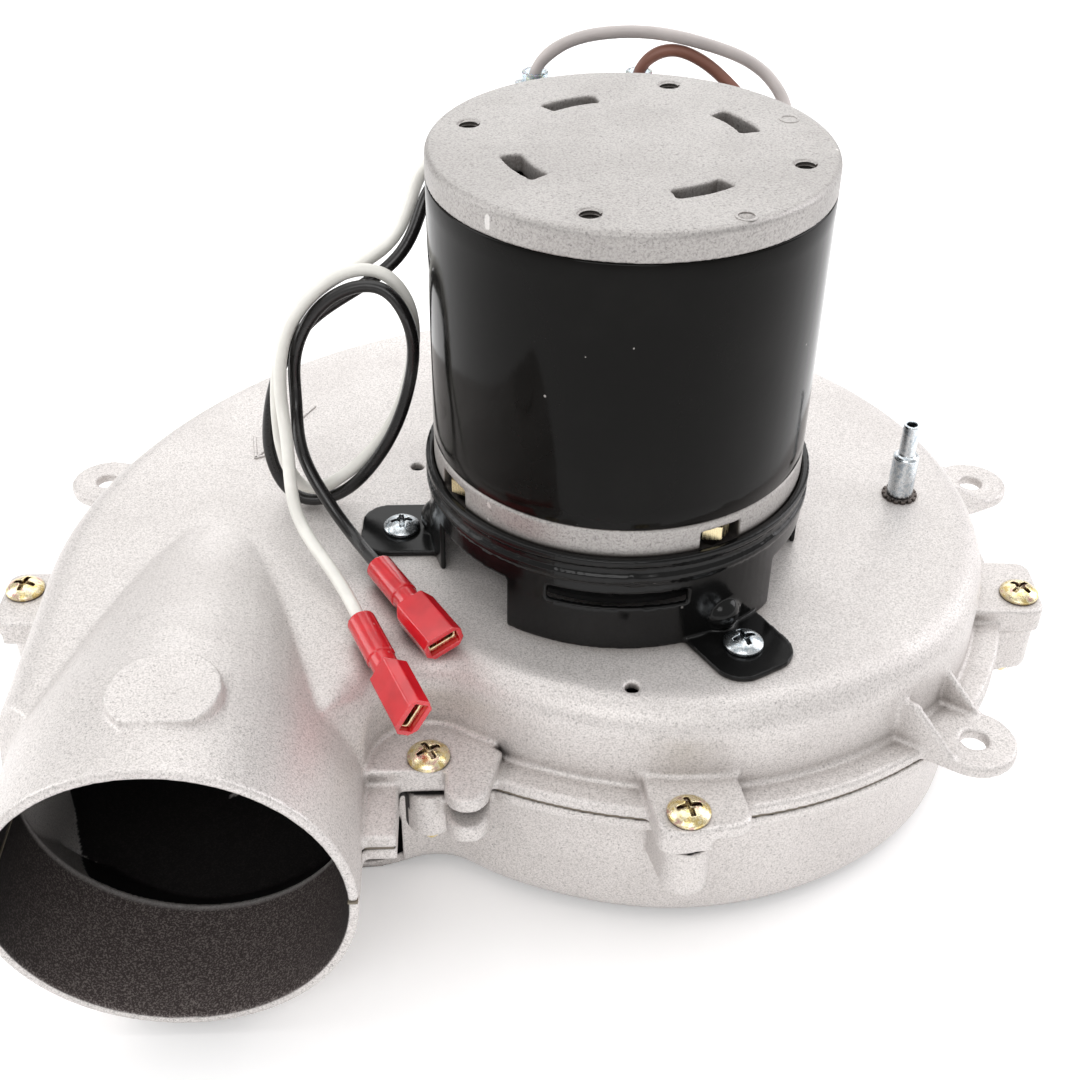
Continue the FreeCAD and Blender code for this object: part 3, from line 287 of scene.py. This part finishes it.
def laminations(name, base):
    """Stacked 0.5 mm steel sheets seen on edge."""
    g = Graph(name)
    height = g.spread()["Z"]
    wave = g.math("SINE", g.math("MULTIPLY", height, 2 * math.pi / (0.5 * MM)))
    stripe = g.ramp(wave, -0.6, 0.6)
    rust = g.ramp(g.noise(0.006, 4.0), 0.5, 0.75, 0.0, 0.5)
    colour = g.mix(stripe, tuple(c * 0.45 for c in base), base)
    colour = g.mix(rust, colour, (0.20, 0.09, 0.04))
    g.set(Base_Color=colour, Roughness=0.5, Metallic=0.9, Normal=g.bump(stripe, 0.00006))
    return g.material


def windings(name):
    """Enamelled copper wire wound in rings."""
    g = Graph(name)
    height = g.spread()["Z"]
    wave = g.math("SINE", g.math("MULTIPLY", height, 2 * math.pi / (0.7 * MM)))
    drift = g.noise(0.008, 3.0)
    colour = g.mix(g.ramp(drift, 0.35, 0.7), (0.42, 0.13, 0.04), (0.72, 0.30, 0.11))
    g.set(Base_Color=colour, Roughness=0.28, Metallic=0.85, Normal=g.bump(g.ramp(wave, -1, 1), 0.0002))
    return g.material


def moulded(name, base, roughness, specular=0.5, grain=0.0008, depth=0.00002):
    """Moulded or extruded plastic and rubber: faint mottling, scuffs and a fine skin."""
    g = Graph(name)
    cloud = g.noise(0.009, 4.0)
    skin = g.noise(grain, 3.0, 0.6)
    colour = g.mix(g.ramp(cloud, 0.35, 0.7), tuple(c * 0.88 for c in base), base)
    colour = g.mix(g.ramp(skin, 0.62, 0.8, 0.0, 0.22), colour, tuple(min(1.0, c * 0.6 + 0.05) for c in base))
    rough = g.ramp(cloud, 0.3, 0.7, roughness - 0.06, roughness + 0.1)
    g.set(Base_Color=colour, Roughness=rough, Specular_IOR_Level=specular, Normal=g.bump(skin, depth))
    return g.material


def clear_nylon(name, colour, deep, clear, roughness):
    """Translucent nylon with faint flow marks, painted shade that deepens the tint at its outline and a
    painted highlight on sharp edges.
    """
    g = Graph(name)
    flow = g.noise(0.005, 2.0, 0.5)
    tint = g.mix(g.ramp(flow, 0.35, 0.7, 0.0, 0.35), colour, deep)
    # painted shade: the tint deepened where the surface is seen edge-on
    facing = g.nodes.new("ShaderNodeLayerWeight")
    facing.inputs["Blend"].default_value = 0.35
    tint = g.mix(g.ramp(facing.outputs["Facing"], 0.3, 1.0, 0.0, 0.6), tint, deep)
    # painted highlight: sharp edges lightened towards a pale tint
    edge = g.math("MULTIPLY", g.edge_highlight(0.52, 0.58), 0.35)
    tint = g.mix(edge, tint, tuple(0.5 + c * 0.5 for c in colour))
    g.set(Base_Color=tint, Roughness=g.ramp(flow, 0.3, 0.7, roughness, roughness + 0.08))
    g.set(Transmission_Weight=clear, IOR=1.45, Subsurface_Weight=0.35, Subsurface_Scale=0.002)
    g.set(Coat_Weight=0.5, Coat_Roughness=0.08, Normal=g.bump(flow, 0.00006))
    return g.material


def galvanised(name):
    """Zinc-coated sheet with flat spangles."""
    g = Graph(name)
    node = g.nodes.new("ShaderNodeTexVoronoi")
    node.inputs["Scale"].default_value = 1.0 / 0.006
    g.links.new(g.place, node.inputs["Vector"])
    tone = g.nodes.new("ShaderNodeRGBToBW")
    g.links.new(node.outputs["Color"], tone.inputs["Color"])
    colour = g.mix(tone.outputs["Val"], (0.42, 0.44, 0.45), (0.66, 0.67, 0.68))
    g.set(Base_Color=colour, Metallic=1.0, Roughness=g.ramp(tone.outputs["Val"], 0.0, 1.0, 0.28, 0.46))
    g.set(Normal=g.bump(g.noise(0.0012, 3.0), 0.00004))
    return g.material


MATERIALS = {
    "cast_aluminium": cast_metal("cast_aluminium", (0.75, 0.715, 0.695), (0.50, 0.47, 0.455), 0.00036, 0.62,
                                 0.46, 0.44, inner_shade=True),
    "cap_aluminium": cast_metal("cap_aluminium", (0.45, 0.43, 0.415), (0.31, 0.295, 0.285), 0.00045, 0.55,
                                0.44, 0.60),
    "black_enamel": enamel("black_enamel", (0.0035, 0.0032, 0.0028), 0.09, 0.10),
    "bracket_enamel": enamel("bracket_enamel", (0.004, 0.004, 0.004), 0.14, 0.24, 0.25),
    "zinc_yellow": plated("zinc_yellow", ((0.74, 0.58, 0.25), (0.86, 0.76, 0.50), (0.66, 0.42, 0.36)), 0.20,
                          (0.07, 0.035, 0.04)),
    "zinc_bright": plated("zinc_bright", ((0.50, 0.56, 0.60), (0.68, 0.71, 0.73), (0.42, 0.48, 0.53)), 0.18,
                          (0.05, 0.05, 0.055)),
    "steel": steel("steel", (0.62, 0.61, 0.60), 0.26),
    "dark_steel": steel("dark_steel", (0.14, 0.12, 0.11), 0.42),
    "galvanised_steel": galvanised("galvanised_steel"),
    "lamination_steel": laminations("lamination_steel", (0.34, 0.33, 0.33)),
    "copper": windings("copper"),
    "brass": steel("brass", (0.86, 0.74, 0.46), 0.24, (8.0, 1.0, 1.0)),
    "sealant": moulded("sealant", (0.20, 0.17, 0.13), 0.6, 0.4, 0.0009, 0.00025),
    "rubber": moulded("rubber", (0.022, 0.021, 0.021), 0.62, 0.35),
    "red_nylon": clear_nylon("red_nylon", (0.78, 0.020, 0.032), (0.42, 0.004, 0.010), 0.22, 0.16),
    "clear_nylon": clear_nylon("clear_nylon", (0.80, 0.90, 0.98), (0.45, 0.60, 0.72), 0.88, 0.10),
    "black_insulation": moulded("black_insulation", (0.012, 0.011, 0.011), 0.24, 0.5, 0.0011),
    "white_insulation": moulded("white_insulation", (0.87, 0.855, 0.80), 0.34, 0.45, 0.0011),
    "grey_insulation": moulded("grey_insulation", (0.50, 0.455, 0.44), 0.34, 0.45, 0.0011),
    "brown_insulation": moulded("brown_insulation", (0.24, 0.105, 0.075), 0.34, 0.45, 0.0011),
    "capacitor_can": steel("capacitor_can", (0.78, 0.78, 0.79), 0.30, (1.0, 1.0, 0.06), 0.0015),
    "capacitor_lid": moulded("capacitor_lid", (0.03, 0.03, 0.032), 0.45),
    "fan_plastic": moulded("fan_plastic", (0.028, 0.028, 0.028), 0.48),
}


# --- mesh helpers ---------------------------------------------------------------------------
def mesh_arrays(mesh):
    points = np.zeros(len(mesh.vertices) * 3)
    mesh.vertices.foreach_get("co", points)
    edges = np.zeros(len(mesh.edges) * 2, dtype=int)
    mesh.edges.foreach_get("vertices", edges)
    return points.reshape(-1, 3), edges.reshape(-1, 2)


def relax(mesh, passes, weight=None):
    """Laplacian smoothing that pushes back almost as far each time, so round parts keep their size."""
    points, edges = mesh_arrays(mesh)
    a = np.concatenate((edges[:, 0], edges[:, 1]))
    b = np.concatenate((edges[:, 1], edges[:, 0]))
    count = np.maximum(np.bincount(a, minlength=len(points)), 1)
    share = np.ones(len(points)) if weight is None else weight(points)
    for number in range(passes * 2):
        step = 0.55 if number % 2 == 0 else -0.53
        pull = np.stack([np.bincount(a, points[b, k], len(points)) / count for k in range(3)], axis=1)
        points += (pull - points) * (step * share)[:, None]
    mesh.vertices.foreach_set("co", points.ravel())
    mesh.update()


def add_mesh(name, mesh, body, slot):
    piece = bpy.data.objects.new(name, mesh)
    bpy.context.scene.collection.objects.link(piece)
    mesh.materials.clear()
    mesh.materials.append(MATERIALS[slot])
    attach(piece, body)
    return piece


def remeshed(node, name, voxel, passes):
    """Copy of a CAD node as an even mesh, so that its edges can be rounded like the real part's."""
    mesh = frame["nodes"][node].data.copy()
    piece = bpy.data.objects.new(name, mesh)
    bpy.context.scene.collection.objects.link(piece)
    weld = piece.modifiers.new("weld", "WELD")
    weld.merge_threshold = 0.000001
    even = piece.modifiers.new("even", "REMESH")
    even.mode = "VOXEL"
    even.voxel_size = voxel
    bpy.context.view_layer.update()
    graph = bpy.context.evaluated_depsgraph_get()
    result = bpy.data.meshes.new_from_object(piece.evaluated_get(graph))
    bpy.data.objects.remove(piece)
    bpy.data.meshes.remove(mesh)
    relax(result, passes)
    result.polygons.foreach_set("use_smooth", [True] * len(result.polygons))
    return result


BODY_OF = {n: b for b, nodes in frame["record"]["behaviour"]["bodies"].items() for n in nodes}
SLOT_OF = {part["node"]: part["material_slot"] for part in frame["record"]["subparts"]}


def refine(node, voxel, passes):
    """Shows a rounded copy of a CAD node in its place."""
    mesh = remeshed(node, node + "_skin", voxel, passes)
    piece = add_mesh(node + "_skin", mesh, BODY_OF[node], SLOT_OF[node])
    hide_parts(node)


def lathe(profile, segments):
    """Mesh of a profile of (radius, height) points turned about Z; the profile is closed."""
    verts = []
    faces = []
    count = len(profile)
    for i in range(segments):
        angle = 2 * math.pi * i / segments
        for radius, height in profile:
            verts.append((radius * math.cos(angle), radius * math.sin(angle), height))
    for i in range(segments):
        j = (i + 1) % segments
        for k in range(count):
            m = (k + 1) % count
            faces.append((i * count + k, j * count + k, j * count + m, i * count + m))
    mesh = bpy.data.meshes.new("lathe")
    mesh.from_pydata(verts, [], faces)
    mesh.update()
    return mesh


def shade(mesh, angle):
    mesh.polygons.foreach_set("use_smooth", [True] * len(mesh.polygons))
    mesh.set_sharp_from_angle(angle=math.radians(angle))


# --- the casing -----------------------------------------------------------------------------
def hump_weight(points):
    """1 where the outlet's hump runs into the casing's top, 0 on the flange, pad and rim."""
    x, y, z = points[:, 0], points[:, 1], points[:, 2]
    around = (x > -0.137) & (x < -0.040) & (y > -0.068) & (y < 0.024) & (z > 0.0535)
    pad = (np.abs(x - TUBE_X) < 0.024) & (y < -0.038) & (z > 0.076)
    return np.where(around & ~pad, 1.0, 0.0)


def mark_inside(mesh):
    """Stores 1 on surfaces past the duct's bore with casing above them and on nearly every side, where
    painted shade goes.
    """
    points, _ = mesh_arrays(mesh)
    normals = np.zeros(len(points) * 3)
    mesh.vertex_normals.foreach_get("vector", normals)
    start = points + normals.reshape(-1, 3) * 0.0006
    turns = [math.pi * i / 5 for i in range(10)]
    ways = [Vector((math.cos(a), math.sin(a), 0)) for a in turns]
    halves = [frame["nodes"][n].data for n in ("casing_upper", "casing_lower")]
    verts = []
    faces = []
    for half in halves:
        first = len(verts)
        verts += [v.co.copy() for v in half.vertices]
        faces += [tuple(first + i for i in p.vertices) for p in half.polygons]
    tree = BVHTree.FromPolygons(verts, faces)
    x, y, z = points[:, 0], points[:, 1], points[:, 2]
    duct = (np.hypot(x - TUBE_X, z - TUBE_Z) < DUCT_R + 0.4 * MM) & (y < -0.060)
    value = np.zeros(len(points), dtype=np.float32)
    cavity = ~duct & (y > -0.0900) & (z > 0.0012) & (z < 0.080) & (np.hypot(x, y) < 0.135)
    for i in np.nonzero(cavity)[0]:
        spot = Vector(start[i])
        if tree.ray_cast(spot, Vector((0, 0, 1)))[0] is None:
            continue
        misses = 0
        for way in ways:
            if tree.ray_cast(spot, way)[0] is None:
                misses += 1
                if misses > 1:
                    break
        if misses <= 1:
            value[i] = 1.0
    layer = mesh.attributes.new("inside", "FLOAT", "POINT")
    layer.data.foreach_set("value", value)


def casing():
    for node in ("casing_upper", "casing_lower"):
        voxel = CASING_VOXEL
        mesh = remeshed(node, node + "_skin", voxel, CASING_PASSES)
        if node == "casing_upper":
            relax(mesh, HUMP_PASSES, hump_weight)
        mark_inside(mesh)
        piece = add_mesh(node + "_skin", mesh, BODY_OF[node], "cast_aluminium")
        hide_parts(node)


def stroke(points, width, height, z):
    """Low rounded bar along a line of points in plan, with its ends rounded."""
    verts = []
    faces = []
    for (x0, y0), (x1, y1) in zip(points, points[1:]):
        way = Vector((x1 - x0, y1 - y0)).normalized()
        side = Vector((-way.y, way.x)) * width / 2
        base = len(verts)
        for x, y, push in ((x0, y0, -width / 2), (x1, y1, width / 2)):
            for across, lift in ((1.0, -0.0002), (0.85, height * 0.6), (0.4, height), (-0.4, height),
                                 (-0.85, height * 0.6), (-1.0, -0.0002)):
                spot = Vector((x, y)) + way * push * (1.0 if lift < 0 else 0.5) + side * across
                verts.append((spot.x, spot.y, z + lift))
        for k in range(6):
            m = (k + 1) % 6
            faces.append((base + k, base + 6 + k, base + 6 + m, base + m))
        faces.append(tuple(base + k for k in range(5, -1, -1)))
        faces.append(tuple(base + 6 + k for k in range(6)))
    mesh = bpy.data.meshes.new("stroke")
    mesh.from_pydata(verts, [], faces)
    mesh.update()
    return mesh


def rotation_arrow():
    """Plain raised arrow on the casing's top that shows the way the fan turns."""
    tail = Vector(ARROW_TAIL_MM) * MM
    tip = Vector(ARROW_TIP_MM) * MM
    back = (tail - tip).normalized() * ARROW_BARB
    barbs = [tip + Matrix.Rotation(math.radians(a), 2) @ back for a in (ARROW_SPREAD, -ARROW_SPREAD)]
    for name, line in (("arrow_shaft", (tail, tip)), ("arrow_head", (barbs[0], tip, barbs[1]))):
        mesh = stroke([tuple(p) for p in line], ARROW_WIDTH, ARROW_HEIGHT, CASING_TOP)
        add_mesh(name, mesh, "casing", "cast_aluminium")


# --- the motor ------------------------------------------------------------------------------
def motor_shell():
    """Shell rolled slightly inwards at both ends."""
    z0, z1 = SHELL_Z
    outer = MOTOR_R
    inner = MOTOR_R - SHELL_T
    profile = [(inner, z0), (outer - 0.5 * MM, z0)]
    profile += [(outer - 0.15 * MM, z0 + 0.15 * MM), (outer, z0 + 0.5 * MM)]
    steps = 14
    for i in range(1, steps):
        profile.append((outer, z0 + 0.5 * MM + (z1 - z0 - 1.0 * MM) * i / steps))
    profile += [(outer, z1 - 0.5 * MM), (outer - 0.15 * MM, z1 - 0.15 * MM)]
    profile += [(outer - 0.5 * MM, z1), (inner, z1)]
    mesh = lathe(profile, 256)
    shade(mesh, 50)
    piece = add_mesh("motor_shell_skin", mesh, BODY_OF["motor_shell"], "black_enamel")
    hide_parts("motor_shell")


def hole_thread(name, x, y):
    """Helical ridge on the wall of one of the cap's tapped holes."""
    top = MOTOR_TOP
    radius = CAP_HOLE_R
    pitch = THREAD_PITCH
    turns = THREAD_DEPTH / pitch
    count = int(turns * THREAD_STEPS)
    verts = []
    faces = []
    for i in range(count + 1):
        angle = 2 * math.pi * i / THREAD_STEPS
        z = top - 0.25 * MM - pitch * i / THREAD_STEPS
        for r, dz in ((radius + 0.1 * MM, 0.32), (radius - 0.34 * MM, 0.0), (radius + 0.1 * MM, -0.32)):
            verts.append((x + r * math.cos(angle), y + r * math.sin(angle), z + dz * pitch))
    for i in range(count):
        a = i * 3
        for k in range(3):
            m = (k + 1) % 3
            faces.append((a + k, a + m, a + 3 + m, a + 3 + k))
    faces += [(0, 1, 2), (count * 3 + 2, count * 3 + 1, count * 3)]
    mesh = bpy.data.meshes.new(name)
    mesh.from_pydata(verts, [], faces)
    mesh.update()
    shade(mesh, 60)
    add_mesh(name, mesh, "casing", "cap_aluminium")


def motor_cap():
    refine("top_end_bell", 0.00045, 6)
    for i in range(4):
        angle = math.radians(CAP_HOLE_ANGLE + 90 * i)
        x = CAP_HOLE_PITCH_R * math.cos(angle)
        y = CAP_HOLE_PITCH_R * math.sin(angle)
        hole_thread(f"cap_thread_{i + 1}", x, y)


def ejector_marks():
    """Shallow round marks that the mould's pins left on the cap."""
    r = PIN_MARK_R
    z = MOTOR_TOP
    for i, (x, y) in enumerate(PIN_MARKS_MM):
        profile = [(r - 0.35 * MM, z - 0.1 * MM), (r - 0.3 * MM, z + 0.1 * MM), (r, z + 0.16 * MM),
                   (r + 0.3 * MM, z + 0.1 * MM), (r + 0.35 * MM, z - 0.1 * MM)]
        mesh = lathe(profile, 40)
        mesh.transform(Matrix.Translation((x * MM, y * MM, 0)))
        shade(mesh, 60)
        add_mesh(f"cap_pin_mark_{i + 1}", mesh, "casing", "cap_aluminium")


# --- everything else ------------------------------------------------------------------------
SMALL_PARTS = {
    "bottom_end_bell": (0.00045, 3),
    "motor_bracket": (0.00040, 5),
    "casing_screws": (0.00017, 3),
    "bracket_screws": (0.00017, 3),
    "pressure_tap": (0.00020, 3),
    "tap_washer": (0.00018, 2),
    "connector_sleeves": (0.00020, 4),
    "spade_receptacles": (0.00016, 2),
    "flag_sleeves": (0.00024, 4),
    "black_lead": (0.00030, 5),
    "white_lead": (0.00030, 5),
    "grey_wire": (0.00030, 5),
    "brown_wire": (0.00030, 5),
    "grommets": (0.00030, 3),
    "capacitor_can": (0.00050, 3),
    "capacitor_top": (0.00040, 3),
    "capacitor_strap": (0.00035, 3),
    "strap_screw": (0.00017, 3),
}


def rest_of_parts():
    for node, (voxel, passes) in SMALL_PARTS.items():
        refine(node, voxel, passes)
    for node, piece in frame["nodes"].items():
        piece.data.materials.clear()
        piece.data.materials.append(MATERIALS[SLOT_OF[node]])


# --- floor, light and camera ----------------------------------------------------------------
def floor():
    mesh = bpy.data.meshes.new("floor")
    s = 6.0
    mesh.from_pydata([(-s, -s, 0), (s, -s, 0), (s, s, 0), (-s, s, 0)], [], [(0, 1, 2, 3)])
    piece = bpy.data.objects.new("floor", mesh)
    bpy.context.scene.collection.objects.link(piece)
    g = Graph("floor")
    g.set(Base_Color=(0.95, 0.945, 0.945), Roughness=0.7, Specular_IOR_Level=0.15)
    g.set(Emission_Color=(1.0, 0.995, 0.995), Emission_Strength=0.22)
    mesh.materials.append(g.material)


def panel(name, place, target, size, power, colour=(1.0, 1.0, 1.0)):
    light = bpy.data.lights.new(name, "AREA")
    light.shape = "RECTANGLE"
    light.size, light.size_y = size
    light.energy = power
    light.color = colour
    piece = bpy.data.objects.new(name, light)
    piece.location = place
    way = Vector(target) - Vector(place)
    piece.rotation_euler = way.to_track_quat("-Z", "Y").to_euler()
    piece.visible_camera = False
    bpy.context.scene.collection.objects.link(piece)


def studio():
    world = bpy.data.worlds.new("studio")
    bpy.context.scene.world = world
    world.use_nodes = True
    background = world.node_tree.nodes["Background"]
    background.inputs["Color"].default_value = (1.0, 0.995, 0.99, 1.0)
    background.inputs["Strength"].default_value = 0.60
    panel("top_light", (0.0, 0.25, 1.1), (0, 0, 0.05), (1.3, 1.0), 6.0)
    panel("left_light", (-1.0, 0.15, 0.55), (0, 0, 0.08), (0.5, 0.9), 3.6)
    panel("right_light", (1.0, 0.30, 0.60), (0, 0, 0.08), (0.6, 0.9), 5.0, (0.98, 0.97, 1.0))
    panel("back_light", (0.1, 1.2, 0.60), (0, 0, 0.1), (1.4, 0.8), 5.0)
    panel("front_light", (-0.2, -1.0, 0.95), (0, 0, 0.04), (0.9, 0.5), 4.6)


def camera():
    data = bpy.data.cameras.new("camera")
    data.lens = LENS
    data.sensor_width = 36.0
    data.shift_x, data.shift_y = SHIFT
    data.clip_start = 0.01
    piece = bpy.data.objects.new("camera", data)
    piece.location = CAMERA_PLACE
    pitch = math.radians(CAMERA_PITCH)
    turn = Matrix.Rotation(CAMERA_TURN, 4, "Z")
    tilt = Matrix.Rotation(math.pi / 2 - pitch, 4, "X")
    roll = Matrix.Rotation(CAMERA_ROLL, 4, "Z")
    piece.rotation_euler = (turn @ tilt @ roll).to_euler()
    bpy.context.scene.collection.objects.link(piece)
    bpy.context.scene.camera = piece


casing()
rotation_arrow()
motor_shell()
motor_cap()
ejector_marks()
rest_of_parts()
floor()
studio()
camera()
bpy.context.scene.view_settings.view_transform = "Standard"
